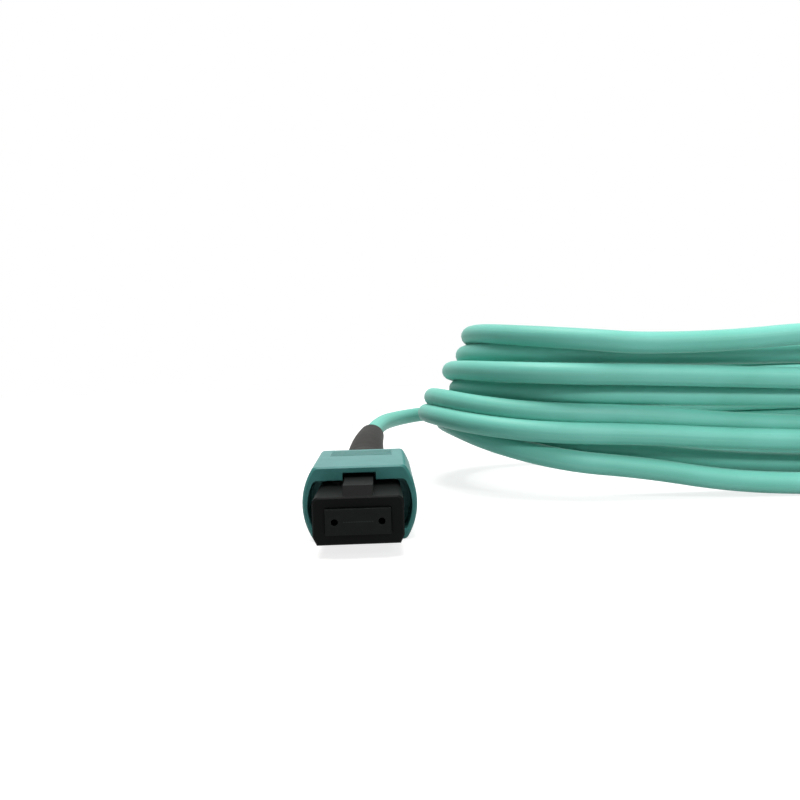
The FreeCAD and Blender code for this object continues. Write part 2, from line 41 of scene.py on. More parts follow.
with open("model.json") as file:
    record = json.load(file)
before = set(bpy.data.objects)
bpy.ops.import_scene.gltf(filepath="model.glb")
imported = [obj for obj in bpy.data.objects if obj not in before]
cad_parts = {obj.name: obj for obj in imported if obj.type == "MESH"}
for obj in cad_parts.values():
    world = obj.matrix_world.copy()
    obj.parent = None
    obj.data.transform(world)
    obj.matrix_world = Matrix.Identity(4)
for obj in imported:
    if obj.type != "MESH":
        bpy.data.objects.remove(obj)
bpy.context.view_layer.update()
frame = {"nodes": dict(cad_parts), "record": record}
nodes = frame["nodes"]


# ---------------------------------------------------------------- materials

# Real mould grain, glass specks and drawing lines are a few hundredths of a millimetre or less.
# All are drawn several times as coarse here, so that they show.

# The colours of the twelve fibres, in their usual order
FIBRE_COLOURS = ("#2E5FA8", "#D9822B", "#3C8C4A", "#7A5230", "#8A9090", "#E8E8E4",
                 "#B5332E", "#2A2A2A", "#E0C63A", "#6E4A8E", "#D98FA0", "#5CC0BE")
FIBRE_END_EDGE = (0.22, 0.30)          # where a fibre's end fades out, in pitches from its middle
FACE_DEPTH = 0.02                      # how far behind the end face still counts as on it
CLOUD_EDGE = (0.35, 0.65)              # the part of a noise over which mottling turns colour
BRUSHING = 0.04                        # a brushed line is 25 times as long as it is wide
JACKET_LINES_ALONG = 40.0              # each about 50 mm long on the 2 m of cable
JACKET_LINES_ROUND = 26.0              # each about 0.36 mm wide


def colour(code):
    """An sRGB hex colour as linear red, green, blue and full alpha."""
    channels = [int(code[i:i + 2], 16) / 255 for i in (1, 3, 5)]
    linear = [c / 12.92 if c <= 0.04045 else ((c + 0.055) / 1.055) ** 2.4 for c in channels]
    return (*linear, 1.0)


def per_mm(size):
    """The texture scale that makes a pattern's features about this many millimetres."""
    return 1 / (size * MM)


def add(tree, kind, inputs=None, **settings):
    """Adds a node. A value that is an output socket is linked, any other is set on the input."""
    node = tree.nodes.new(kind)
    for name, value in settings.items():
        setattr(node, name, value)
    for name, value in (inputs or {}).items():
        if isinstance(value, bpy.types.NodeSocket):
            tree.links.new(value, node.inputs[name])
        else:
            node.inputs[name].default_value = value
    return node


def new_material(name):
    """A material with an empty tree."""
    material = bpy.data.materials.new(name)
    material.use_nodes = True
    material.node_tree.nodes.clear()
    return material, material.node_tree


def clouds(tree, place, size_mm, detail, first, second, edge=CLOUD_EDGE):
    """Two close colours in soft clouds of about this size, and the noise that they follow."""
    noise = add(tree, "ShaderNodeTexNoise", {
        "Vector": place, "Scale": per_mm(size_mm), "Detail": detail}).outputs[0]
    share = add(tree, "ShaderNodeMapRange", {
        "Value": noise, "From Min": edge[0], "From Max": edge[1]}).outputs[0]
    both = add(tree, "ShaderNodeMix", {
        "Factor": share, "A": colour(first), "B": colour(second)}, data_type="RGBA").outputs[2]
    return both, noise


# The mask below marks the edges that get a painted highlight, with some wear, and a lower
# roughness.
def edge_mask_for_highlight_and_wear(tree, width_mm):
    """1 where the surface turns an edge, 0 on its flats, and the normal that rounds that edge."""
    rounded = add(tree, "ShaderNodeBevel", {"Radius": width_mm * MM}, samples=6).outputs[0]
    flat = add(tree, "ShaderNodeNewGeometry").outputs["Normal"]
    likeness = add(tree, "ShaderNodeVectorMath", {0: rounded, 1: flat},
                   operation="DOT_PRODUCT").outputs["Value"]
    edge = add(tree, "ShaderNodeMapRange", {
        "Value": likeness, "From Min": 0.75, "From Max": 0.995,
        "To Min": 1.0, "To Max": 0.0}).outputs[0]
    return edge, rounded


def paint_edge_highlight_and_wear(tree, base, edge, strength, edge_highlight_and_wear):
    """The base colour, turned part of the way to a paler one on the edges: a painted highlight,
    with some wear.
    """
    share = add(tree, "ShaderNodeMapRange", {"Value": edge, "To Max": strength}).outputs[0]
    return add(tree, "ShaderNodeMix", {"Factor": share, "A": base, "B": colour(edge_highlight_and_wear)},
               data_type="RGBA").outputs[2]


def finish_surface(tree, inputs):
    """The end of every piece's material: its shader and the output."""
    shader = add(tree, "ShaderNodeBsdfPrincipled", inputs)
    add(tree, "ShaderNodeOutputMaterial", {"Surface": shader.outputs[0]})


def moulded(name, body, edge_highlight_and_wear, mottled, roughness, grain_mm, grain_depth, specular=0.5,
            edge_mm=0.08):
    """Injection-moulded in a spark-eroded tool: fine grain, faint mottling, and shiny edges with a
    painted highlight and some wear.
    """
    material, tree = new_material(name)
    place = add(tree, "ShaderNodeTexCoord").outputs["Object"]
    base, _ = clouds(tree, place, 2.6, 4.0, body, mottled)
    edge, rounded = edge_mask_for_highlight_and_wear(tree, edge_mm)
    # the edges are painted paler: a painted highlight, with some wear
    base = paint_edge_highlight_and_wear(tree, base, edge, 0.55, edge_highlight_and_wear)
    grain = add(tree, "ShaderNodeTexNoise", {
        "Vector": place, "Scale": per_mm(grain_mm), "Detail": 3.0}).outputs[0]
    grainy = add(tree, "ShaderNodeMapRange", {
        "Value": grain, "To Min": roughness - 0.07, "To Max": roughness + 0.07}).outputs[0]
    rubbed = add(tree, "ShaderNodeMapRange", {"Value": edge, "To Max": 0.12}).outputs[0]
    rough = add(tree, "ShaderNodeMath", {0: grainy, 1: rubbed}, operation="SUBTRACT").outputs[0]
    bump = add(tree, "ShaderNodeBump", {
        "Height": grain, "Strength": grain_depth, "Distance": 0.01 * MM,
        "Normal": rounded}).outputs[0]
    finish_surface(tree, {"Base Color": base, "Roughness": rough, "Normal": bump,
                          "Specular IOR Level": specular})
    return material


def bright_metal(name, body, stain, roughness, line_mm, along):
    """Bright metal: fine drawn or brushed lines along one axis and faint stains."""
    material, tree = new_material(name)
    place = add(tree, "ShaderNodeTexCoord").outputs["Object"]
    stretch = [BRUSHING if axis == along else 1.0 for axis in "XYZ"]
    stretched = add(tree, "ShaderNodeMapping", {"Vector": place, "Scale": stretch}).outputs[0]
    lines = add(tree, "ShaderNodeTexNoise", {
        "Vector": stretched, "Scale": per_mm(line_mm), "Detail": 3.0}).outputs[0]
    base, _ = clouds(tree, place, 1.5, 3.0, body, stain, edge=(0.35, 0.7))
    rounded = add(tree, "ShaderNodeBevel", {"Radius": 0.05 * MM}, samples=6).outputs[0]
    rough = add(tree, "ShaderNodeMapRange", {
        "Value": lines, "To Min": roughness - 0.08, "To Max": roughness + 0.1}).outputs[0]
    bump = add(tree, "ShaderNodeBump", {
        "Height": lines, "Strength": 0.35, "Distance": 0.008 * MM, "Normal": rounded}).outputs[0]
    finish_surface(tree, {"Base Color": base, "Metallic": 1.0, "Normal": bump,
                          "Roughness": rough})
    return material


def fibre_ends(tree, place):
    """1 on the polished fibre ends, a row of small discs across the ferrule's face, else 0."""
    axes = add(tree, "ShaderNodeSeparateXYZ", {"Vector": place})

    # the distance from the nearer plug's middle: both plugs fold onto one
    half_way = FAR_X * MM / 2
    across = add(tree, "ShaderNodeMath", {0: axes.outputs["X"], 1: half_way},
                 operation="SUBTRACT").outputs[0]
    across = add(tree, "ShaderNodeMath", {0: across}, operation="ABSOLUTE").outputs[0]
    across = add(tree, "ShaderNodeMath", {0: across, 1: half_way},
                 operation="SUBTRACT").outputs[0]

    # from the nearest fibre's middle, in pitches
    count = add(tree, "ShaderNodeMath", {0: across, 1: FIBRE_PITCH * MM},
                operation="DIVIDE").outputs[0]
    part = add(tree, "ShaderNodeMath", {0: count}, operation="FRACT").outputs[0]
    side = add(tree, "ShaderNodeMath", {0: part, 1: 0.5}, operation="SUBTRACT").outputs[0]
    rise = add(tree, "ShaderNodeMath", {0: axes.outputs["Z"], 1: AXIS * MM},
               operation="SUBTRACT").outputs[0]
    rise = add(tree, "ShaderNodeMath", {0: rise, 1: FIBRE_PITCH * MM},
               operation="DIVIDE").outputs[0]
    offset = add(tree, "ShaderNodeCombineXYZ", {"X": side, "Y": rise}).outputs[0]
    distance = add(tree, "ShaderNodeVectorMath", {0: offset},
                   operation="LENGTH").outputs["Value"]
    disc = add(tree, "ShaderNodeMapRange", {
        "Value": distance, "From Min": FIBRE_END_EDGE[0], "From Max": FIBRE_END_EDGE[1],
        "To Min": 1.0, "To Max": 0.0}).outputs[0]

    # only across the row's width, and only on the end face
    inside = add(tree, "ShaderNodeMath", {0: across}, operation="ABSOLUTE").outputs[0]
    inside = add(tree, "ShaderNodeMath", {0: inside, 1: FIBRES * FIBRE_PITCH * MM / 2},
                 operation="LESS_THAN").outputs[0]
    face = add(tree, "ShaderNodeMath", {
        0: axes.outputs["Y"], 1: FACE_Y * MM + FACE_DEPTH * MM}, operation="LESS_THAN").outputs[0]
    shown = add(tree, "ShaderNodeMath", {0: inside, 1: face}, operation="MULTIPLY").outputs[0]
    return add(tree, "ShaderNodeMath", {0: disc, 1: shown}, operation="MULTIPLY").outputs[0]


def ferrule_compound():
    """Glass-filled polyphenylene sulphide, moulded, end polished: pale specks in dark resin."""
    material, tree = new_material("glass_filled_pps_ferrule")
    place = add(tree, "ShaderNodeTexCoord").outputs["Object"]
    base, cloud = clouds(tree, place, 0.8, 4.0, "#0E1110", "#151918")
    specks = add(tree, "ShaderNodeTexVoronoi", {
        "Vector": place, "Scale": per_mm(0.12)}).outputs["Distance"]
    filler = add(tree, "ShaderNodeMapRange", {
        "Value": specks, "From Max": 0.4, "To Min": 0.35, "To Max": 0.0}).outputs[0]
    base = add(tree, "ShaderNodeMix", {"Factor": filler, "A": base, "B": colour("#242A28")},
               data_type="RGBA").outputs[2]
    edge, rounded = edge_mask_for_highlight_and_wear(tree, 0.06)
    # its edges are painted paler: a painted highlight, with some wear
    base = paint_edge_highlight_and_wear(tree, base, edge, 0.5, "#4A524F")
    base = add(tree, "ShaderNodeMix", {
        "Factor": fibre_ends(tree, place), "A": base, "B": colour("#333B39")},
        data_type="RGBA").outputs[2]
    rough = add(tree, "ShaderNodeMapRange", {
        "Value": cloud, "From Min": 0.3, "From Max": 0.7,
        "To Min": 0.36, "To Max": 0.46}).outputs[0]
    bump = add(tree, "ShaderNodeBump", {
        "Height": specks, "Strength": 0.15, "Distance": 0.005 * MM, "Normal": rounded}).outputs[0]
    finish_surface(tree, {"Base Color": base, "Roughness": rough, "Normal": bump,
                          "Specular IOR Level": 0.09})
    return material


def boot_elastomer():
    """Thermoplastic elastomer, moulded: a soft, matt, warm grey that takes a dusty sheen."""
    material, tree = new_material("tpe_boot_warm_grey")
    place = add(tree, "ShaderNodeTexCoord").outputs["Object"]
    base, _ = clouds(tree, place, 3.0, 3.0, "#282725", "#2F2E2C")
    edge, rounded = edge_mask_for_highlight_and_wear(tree, 0.2)
    # its edges are painted paler: a painted highlight, with some wear
    base = paint_edge_highlight_and_wear(tree, base, edge, 0.4, "#4A4947")
    grain = add(tree, "ShaderNodeTexNoise", {
        "Vector": place, "Scale": per_mm(0.18), "Detail": 4.0}).outputs[0]
    rough = add(tree, "ShaderNodeMapRange", {
        "Value": grain, "To Min": 0.62, "To Max": 0.78}).outputs[0]
    bump = add(tree, "ShaderNodeBump", {
        "Height": grain, "Strength": 0.25, "Distance": 0.02 * MM, "Normal": rounded}).outputs[0]
    finish_surface(tree, {"Base Color": base, "Roughness": rough, "Normal": bump,
                          "Specular IOR Level": 0.2, "Sheen Weight": 0.08,
                          "Sheen Roughness": 0.5})
    return material


def cable_jacket():
    """Halogen-free jacket, extruded: an aqua satin, faint die lines along it and pale scuffs."""
    material, tree = new_material("lszh_jacket_aqua")
    source = add(tree, "ShaderNodeTexCoord")
    along = add(tree, "ShaderNodeMapping", {
        "Vector": source.outputs["UV"],
        "Scale": (JACKET_LINES_ALONG, JACKET_LINES_ROUND, 1.0)}).outputs[0]
    lines = add(tree, "ShaderNodeTexNoise", {
        "Vector": along, "Scale": 1.0, "Detail": 2.0}).outputs[0]
    place = source.outputs["Object"]
    base, _ = clouds(tree, place, 9.0, 5.0, "#6EC5B5", "#78CEC0")
    scuffs = add(tree, "ShaderNodeMapRange", {
        "Value": lines, "From Min": 0.5, "From Max": 0.75, "To Max": 0.22}).outputs[0]
    base = add(tree, "ShaderNodeMix", {"Factor": scuffs, "A": base, "B": colour("#9CE0D2")},
               data_type="RGBA").outputs[2]
    grain = add(tree, "ShaderNodeTexNoise", {
        "Vector": place, "Scale": per_mm(0.22), "Detail": 3.0}).outputs[0]
    rough = add(tree, "ShaderNodeMapRange", {
        "Value": grain, "To Min": 0.46, "To Max": 0.58}).outputs[0]
    height = add(tree, "ShaderNodeMath", {0: lines, 1: grain}, operation="ADD").outputs[0]
    bump = add(tree, "ShaderNodeBump", {
        "Height": height, "Strength": 0.18, "Distance": 0.02 * MM}).outputs[0]
    finish_surface(tree, {"Base Color": base, "Roughness": rough, "Normal": bump,
                          "Specular IOR Level": 0.4, "Sheen Weight": 0.1,
                          "Sheen Roughness": 0.4})
    return material


def coated_fibres():
    """Acrylate-coated glass, drawn and dyed: a clear gloss, each fibre in its own colour."""
    material, tree = new_material("acrylate_coated_fibres")
    number = add(tree, "ShaderNodeAttribute", attribute_name="fibre_number").outputs["Fac"]
    share = add(tree, "ShaderNodeMath", {0: number, 1: 0.5}, operation="ADD").outputs[0]
    share = add(tree, "ShaderNodeMath", {0: share, 1: float(FIBRES)},
                operation="DIVIDE").outputs[0]
    bands = add(tree, "ShaderNodeValToRGB", {"Fac": share})
    bands.color_ramp.interpolation = "CONSTANT"
    stops = bands.color_ramp.elements
    stops[1].position = 1 / FIBRES     # a new ramp has two stops, at 0 and 1
    for i in range(2, FIBRES):
        stops.new(i / FIBRES)
    for stop, code in zip(stops, FIBRE_COLOURS):
        stop.color = colour(code)
    finish_surface(tree, {"Base Color": bands.outputs[0], "Roughness": 0.3, "Coat Weight": 0.3})
    return material


# By material slot of the record
FINISHES = {
    # polybutylene terephthalate: a satin aqua, paler along its edges from a painted highlight with
    # some wear
    "sleeve": moulded("pbt_sleeve_aqua", body="#47908D", edge_highlight_and_wear="#8FCFCA", mottled="#408884",
                      roughness=0.40, grain_mm=0.11, grain_depth=0.5, specular=0.24,
                      edge_mm=0.1),
    # the same with glass fibre: near black and dull, with a grey painted highlight, and some wear,
    # along its edges
    "plug": moulded("glass_filled_pbt_black", body="#0D0F0E", edge_highlight_and_wear="#39403D", mottled="#121514",
                    roughness=0.52, grain_mm=0.10, grain_depth=0.5, specular=0.06),
    "ferrule": ferrule_compound(),
    # silicone rubber: a soft mid grey with hardly any shine, and a painted highlight with some
    # wear on its edges
    "soft_grey": moulded("silicone_boot_grey", body="#3A3C3C", edge_highlight_and_wear="#5A5C5C",
                         mottled="#424444", roughness=0.7, grain_mm=0.15, grain_depth=0.3),
    "fibre": coated_fibres(),
    # stainless strip, stamped: brushed across the plug
    "keeper": bright_metal("stainless_keeper_stamped", body="#A9AAA6", stain="#8F8F8A",
                           roughness=0.34, line_mm=0.06, along="X"),
    # music wire, drawn: the brightest metal here
    "spring": bright_metal("music_wire_drawn", body="#B4B4AE", stain="#96958E",
                           roughness=0.26, line_mm=0.04, along="Y"),
    # brass, nickel-plated: a warmer grey
    "crimp": bright_metal("brass_crimp_nickelled", body="#BDB9AE", stain="#A39E92",
                          roughness=0.32, line_mm=0.08, along="Z"),
    "boot": boot_elastomer(),
    "cable": cable_jacket(),
}
for part in frame["record"]["subparts"]:
    piece = nodes[part["node"]]
    piece.data.materials.clear()
    piece.data.materials.append(FINISHES[part["material_slot"]])


# ---------------------------------------------------------------- springs and fibres

# The springs' sizes in metres, and the place along the plug where each starts
MAIN_SPRING = dict(Turns=5.0, Width=5.4 * MM, Height=2.5 * MM, Length=4.5 * MM, Wire=0.5 * MM)
MAIN_SPRING_Y = -3.9
SLEEVE_SPRING = dict(Turns=8.0, Width=0.88 * MM, Height=0.88 * MM, Length=6.28 * MM,
                     Wire=0.22 * MM)
SLEEVE_SPRING_Y = -2.54
SLEEVE_SPRINGS_APART = 9.5

FIBRE_DIAMETER = 0.24
FIBRES_FROM_Y = -11.85
FIBRES_TO_Y = 13.35
RIBBON_SHARE = 0.333                   # the part of their length that the fibres lie flat
GATHERED_SHARE = 0.504                 # the part after which they are a round bundle
RING_OF_NINE = 1.462                   # the bundle's outer ring, in pitches from its middle
RING_OF_THREE = 0.577                  # its inner ring

SOCKETS = {float: "NodeSocketFloat", int: "NodeSocketInt", tuple: "NodeSocketVector"}
ORIGIN = (0.0, 0.0, 0.0)


def new_group(name, sizes):
    """A Geometry Nodes tree with an input for each size and one for the material.

    Also gives the inputs' sockets in the tree and their identifiers by name.
    """
    group = bpy.data.node_groups.new(name, "GeometryNodeTree")
    identifiers = {}
    for label, value in sizes.items():
        socket = group.interface.new_socket(label, in_out="INPUT",
                                            socket_type=SOCKETS[type(value)])
        socket.default_value = value
        identifiers[label] = socket.identifier
    socket = group.interface.new_socket("Material", in_out="INPUT",
                                        socket_type="NodeSocketMaterial")
    identifiers["Material"] = socket.identifier
    group.interface.new_socket("Geometry", in_out="OUTPUT", socket_type="NodeSocketGeometry")
    return group, add(group, "NodeGroupInput").outputs, identifiers


def close_group(group, shape, material):
    """The end of every tree: real geometry with its material on."""
    real = add(group, "GeometryNodeRealizeInstances", {"Geometry": shape}).outputs[0]
    dressed = add(group, "GeometryNodeSetMaterial", {
        "Geometry": real, "Material": material}).outputs[0]
    add(group, "NodeGroupOutput", {"Geometry": dressed})


def spring_group():
    """Round wire wound into an oval coil along Y, with copies set side by side."""
    group, given, identifiers = new_group("wound_spring", {
        **MAIN_SPRING, "Copies": 1, "Apart": 0.0, "Start": ORIGIN})
    line = add(group, "GeometryNodeCurveSpiral", {
        "Resolution": 24, "Rotations": given["Turns"], "Start Radius": 0.5, "End Radius": 0.5,
        "Height": given["Length"]}).outputs[0]
    girth = add(group, "ShaderNodeCombineXYZ", {
        "X": given["Width"], "Y": given["Height"], "Z": 1.0}).outputs[0]
    line = add(group, "GeometryNodeTransform", {"Geometry": line, "Scale": girth}).outputs[0]
    line = add(group, "GeometryNodeTransform", {
        "Geometry": line, "Rotation": (-math.pi / 2, 0, 0)}).outputs[0]
    radius = add(group, "ShaderNodeMath", {0: given["Wire"], 1: 0.5},
                 operation="MULTIPLY").outputs[0]
    ring = add(group, "GeometryNodeCurvePrimitiveCircle", {
        "Resolution": 8, "Radius": radius}).outputs[0]
    wire = add(group, "GeometryNodeCurveToMesh", {
        "Curve": line, "Profile Curve": ring, "Fill Caps": True}).outputs[0]
    step = add(group, "ShaderNodeCombineXYZ", {"X": given["Apart"]}).outputs[0]
    places = add(group, "GeometryNodeMeshLine", {
        "Count": given["Copies"], "Start Location": given["Start"], "Offset": step}).outputs[0]
    copies = add(group, "GeometryNodeInstanceOnPoints", {
        "Points": places, "Instance": wire}).outputs[0]
    close_group(group, copies, given["Material"])
    return group, identifiers


def fibre_group():
    """Fibres that leave the ferrule side by side and gather into a round bundle."""
    group, given, identifiers = new_group("gathered_fibres", {
        "Count": FIBRES, "Pitch": FIBRE_PITCH * MM, "Diameter": FIBRE_DIAMETER * MM,
        "Ribbon Share": RIBBON_SHARE, "Gathered Share": GATHERED_SHARE,
        "Start": ORIGIN, "End": ORIGIN})
    line = add(group, "GeometryNodeCurvePrimitiveLine", {
        "Start": given["Start"], "End": given["End"]}).outputs[0]
    line = add(group, "GeometryNodeResampleCurve", {"Curve": line, "Count": 30}).outputs[0]
    places = add(group, "GeometryNodeMeshLine", {
        "Count": given["Count"], "Offset": ORIGIN}).outputs[0]
    copies = add(group, "GeometryNodeInstanceOnPoints", {
        "Points": places, "Instance": line}).outputs[0]
    index = add(group, "GeometryNodeInputIndex").outputs[0]
    copies = add(group, "GeometryNodeStoreNamedAttribute", {
        "Geometry": copies, "Name": "fibre_number", "Value": index},
        data_type="FLOAT", domain="INSTANCE").outputs[0]
    lines = add(group, "GeometryNodeRealizeInstances", {"Geometry": copies}).outputs[0]
    number = add(group, "GeometryNodeInputNamedAttribute", {"Name": "fibre_number"},
                 data_type="FLOAT").outputs[0]

    # every fourth fibre, from the second, lies inside the ring of the others
    fourth = add(group, "ShaderNodeMath", {0: number, 1: 4.0}, operation="MODULO").outputs[0]
    inner = add(group, "ShaderNodeMath", {0: fourth, 1: 1.0, 2: 0.5},
                operation="COMPARE").outputs[0]
    shifted = add(group, "ShaderNodeMath", {0: number, 1: 2.0}, operation="ADD").outputs[0]
    quarter = add(group, "ShaderNodeMath", {0: shifted, 1: 4.0}, operation="DIVIDE").outputs[0]
    passed = add(group, "ShaderNodeMath", {0: quarter}, operation="FLOOR").outputs[0]
    order = add(group, "ShaderNodeMath", {0: number, 1: passed},
                operation="SUBTRACT").outputs[0]
    outer_angle = add(group, "ShaderNodeMath", {0: order, 1: math.tau / 9},
                      operation="MULTIPLY").outputs[0]
    inner_angle = add(group, "ShaderNodeMath", {0: passed, 1: math.tau / 3},
                      operation="MULTIPLY").outputs[0]
    angle = add(group, "ShaderNodeMix", {
        "Factor": inner, "A": outer_angle, "B": inner_angle}).outputs[0]
    pitches = add(group, "ShaderNodeMix", {
        "Factor": inner, "A": RING_OF_NINE, "B": RING_OF_THREE}).outputs[0]
    reach = add(group, "ShaderNodeMath", {0: pitches, 1: given["Pitch"]},
                operation="MULTIPLY").outputs[0]
    cosine = add(group, "ShaderNodeMath", {0: angle}, operation="COSINE").outputs[0]
    sine = add(group, "ShaderNodeMath", {0: angle}, operation="SINE").outputs[0]
    round_x = add(group, "ShaderNodeMath", {0: cosine, 1: reach},
                  operation="MULTIPLY").outputs[0]
    round_z = add(group, "ShaderNodeMath", {0: sine, 1: reach},
                  operation="MULTIPLY").outputs[0]

    # each moves from its place in the flat row to its place in the bundle
    middle = add(group, "ShaderNodeMath", {0: number, 1: (FIBRES - 1) / 2},
                 operation="SUBTRACT").outputs[0]
    flat_x = add(group, "ShaderNodeMath", {0: middle, 1: given["Pitch"]},
                 operation="MULTIPLY").outputs[0]
    along = add(group, "GeometryNodeSplineParameter").outputs["Factor"]
    gathered = add(group, "ShaderNodeMapRange", {
        "Value": along, "From Min": given["Ribbon Share"], "From Max": given["Gathered Share"]},
        interpolation_type="SMOOTHSTEP").outputs[0]
    x = add(group, "ShaderNodeMix", {"Factor": gathered, "A": flat_x, "B": round_x}).outputs[0]
    z = add(group, "ShaderNodeMath", {0: gathered, 1: round_z}, operation="MULTIPLY").outputs[0]
    offset = add(group, "ShaderNodeCombineXYZ", {"X": x, "Z": z}).outputs[0]
    lines = add(group, "GeometryNodeSetPosition", {
        "Geometry": lines, "Offset": offset}).outputs[0]
    radius = add(group, "ShaderNodeMath", {0: given["Diameter"], 1: 0.5},
                 operation="MULTIPLY").outputs[0]
    ring = add(group, "GeometryNodeCurvePrimitiveCircle", {
        "Resolution": 8, "Radius": radius}).outputs[0]
    rods = add(group, "GeometryNodeCurveToMesh", {
        "Curve": lines, "Profile Curve": ring, "Fill Caps": True}).outputs[0]
    close_group(group, rods, given["Material"])
    return group, identifiers


def grown(name, group_and_identifiers, sizes, slot):
    """A plain mesh object that a Geometry Nodes tree makes from these sizes."""
    group, identifiers = group_and_identifiers
    piece = bpy.data.objects.new(name, bpy.data.meshes.new(name))
    bpy.context.scene.collection.objects.link(piece)
    modifier = piece.modifiers.new(name, "NODES")
    modifier.node_group = group
    for label, value in {**sizes, "Material": FINISHES[slot]}.items():
        modifier[identifiers[label]] = value
    made = piece.evaluated_get(bpy.context.evaluated_depsgraph_get())
    mesh = bpy.data.meshes.new_from_object(made)
    piece.modifiers.remove(modifier)
    piece.data = mesh
    mesh.name = name
    # one slot only, since the new mesh also brings an empty one
    mesh.materials.clear()
    mesh.materials.append(FINISHES[slot])
    mesh.polygons.foreach_set("material_index", [0] * len(mesh.polygons))
    mesh.polygons.foreach_set("use_smooth", [True] * len(mesh.polygons))
    return piece


SPRING, FIBRE = spring_group(), fibre_group()
new_pieces = []
for end, x in (("", 0.0), ("far_", FAR_X)):
    spring = grown(end + "oval_main_spring", SPRING, {
        **MAIN_SPRING, "Start": Vector((x, MAIN_SPRING_Y, AXIS)) * MM}, "spring")
    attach(spring, "plug")
    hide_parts(end + "main_spring")
    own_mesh(spring)

    pair_start = (x - SLEEVE_SPRINGS_APART / 2, SLEEVE_SPRING_Y, AXIS)
    pair = grown(end + "sleeve_spring_pair", SPRING, {
        **SLEEVE_SPRING, "Copies": 2, "Apart": SLEEVE_SPRINGS_APART * MM,
        "Start": Vector(pair_start) * MM}, "spring")
    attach(pair, "plug")
    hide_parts(end + "left_sleeve_spring", end + "right_sleeve_spring")
    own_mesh(pair)

    fibres = grown(end + "twelve_fibres", FIBRE, {
        "Start": Vector((x, FIBRES_FROM_Y, AXIS)) * MM,
        "End": Vector((x, FIBRES_TO_Y, AXIS)) * MM}, "fibre")
    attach(fibres, end + "ferrule")
    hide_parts(end + "fibre_bundle")
    new_pieces += [spring, pair, fibres]


# ---------------------------------------------------------------- cord

# The cord's route by listed points: from the first plug's crimp post to the coil
POST_END = (0.0, 14.35, 3.65)
LEAD = [
    (0.0, 22.6, 3.65), (0.2, 30.1, 6.3), (2.0, 43.7, 8.9),
    (6.5, 54.7, 9.4), (14.5, 63.2, 9.8), (26.0, 66.7, 7.4),
    (38.0, 63.2, 4.6), (49.0, 55.2, 2.2), (61.0, 49.7, 1.6),
]
LEAD_IN = [(74.0, 48.4, 1.6), (86.0, 48.1, 1.6)]

# From the coil's last turn over its top and down to the second plug. The tail is listed from the
# plug's end.
CLOSING = [(38.0, 48.0, 22.0), (52.0, 49.2, 22.2), (66.0, 50.8, 21.6), (78.0, 51.8, 20.6)]
TAIL = [
    (127.0, 22.8, 3.65), (126.8, 31.5, 4.6), (123.0, 41.5, 7.6),
    (115.0, 49.4, 11.6), (104.0, 53.0, 15.6), (92.5, 52.4, 18.6),
]
FAR_POST_END = (127.0, 14.35, 3.65)

# The coil: a long ring of turns that fan out along its near side
NEAR_Y = 9.1
FAR_Y = 48.1
BEND_STEP = 30.0                       # degrees between a bend's points
BEND_X = 88.0                          # centre of the right bends
NEAR_X = (88.0, 74.0, 62.0, 50.0, 38.0)

# One entry a turn, in the order in which the cord runs. joins is the height and the inset at which
# the far side meets the right bend, and reach moves that bend. near gives the heights along the
# near side at NEAR_X, whose first place moves with the bend, and behind how far the cord lies
# inside the coil's outline there. tip is the left bend's leftmost place and its height. far_side
# is the height and the inset at the far side's left end.
TURNS = [
    dict(joins=(1.6, 0.0), reach=0.0, near=(1.55, 1.55, 1.55, 2.2, 4.4),
         behind=(-1.2, -1.2, -1.2, -0.6, 0), tip=(13.4, 11.2), far_side=(3.8, 0.0)),
    dict(joins=(1.6, 3.2), reach=-3.2, near=(2.2, 3.2, 3.7, 4.5, 6.3),
         behind=(3.2, 3.2, 3.2, 3.2, 3.2), tip=(16.6, 10.4), far_side=(6.0, 3.2)),
    dict(joins=(5.0, 1.0), reach=1.0, near=(5.2, 6.6, 7.4, 8.0, 8.95),
         behind=(0, 0, 0, 0, 0), tip=(10.4, 12.3), far_side=(7.7, 0.0)),
    dict(joins=(8.0, 0.0), reach=-0.8, near=(8.1, 8.6, 9.2, 10.1, 11.5),
         behind=(1, 2, 2.4, 2.3, 1.2), tip=(11.5, 14.9), far_side=(10.5, 1.0)),
    dict(joins=(10.9, 1.0), reach=0.7, near=(11.4, 12.6, 13.4, 13.8, 14.3),
         behind=(1, 1.8, 2, 2.2, 2.4), tip=(15.9, 15.9), far_side=(13.3, 0.0)),
    dict(joins=(13.8, 0.0), reach=-1.2, near=(14.6, 15.4, 15.9, 16.5, 17.1),
         behind=(0, 0, 0, 0, 0), tip=(14.6, 18.9), far_side=(16.2, 1.0)),
    dict(joins=(16.7, 1.0), reach=0.9, near=(18.0, 19.2, 19.6, 19.6, 20.0),
         behind=(1.5, 2.4, 3, 3, 3), tip=(17.2, 21.5), far_side=(19.1, 0.0)),
    dict(joins=(19.6, 0.0), reach=-0.4, near=(20.8, 22.0, 22.2, 21.3, 21.3),
         behind=(0, 0, 0, 0, 0), tip=(18.0, 24.8), far_side=(22.1, 0.6)),
]


def bend(centre_x, from_y, to_y, right, heights):
    """Points round a half turn from from_y to to_y; heights are at its start, middle and end."""
    radius = abs(from_y - to_y) / 2
    reach = radius / math.cos(math.radians(BEND_STEP / 2))
    steps = round(180 / BEND_STEP)
    first, middle, last = heights
    points = []
    for i in range(steps):
        share = (i + 0.5) / steps
        angle = math.radians((90 if right else 270) - 180 * share)
        z = first + (middle - first) * min(2 * share, 1) + (last - middle) * max(2 * share - 1, 0)
        points.append((centre_x + reach * math.cos(angle),
                       (from_y + to_y) / 2 + reach * math.sin(angle), z))
    return points


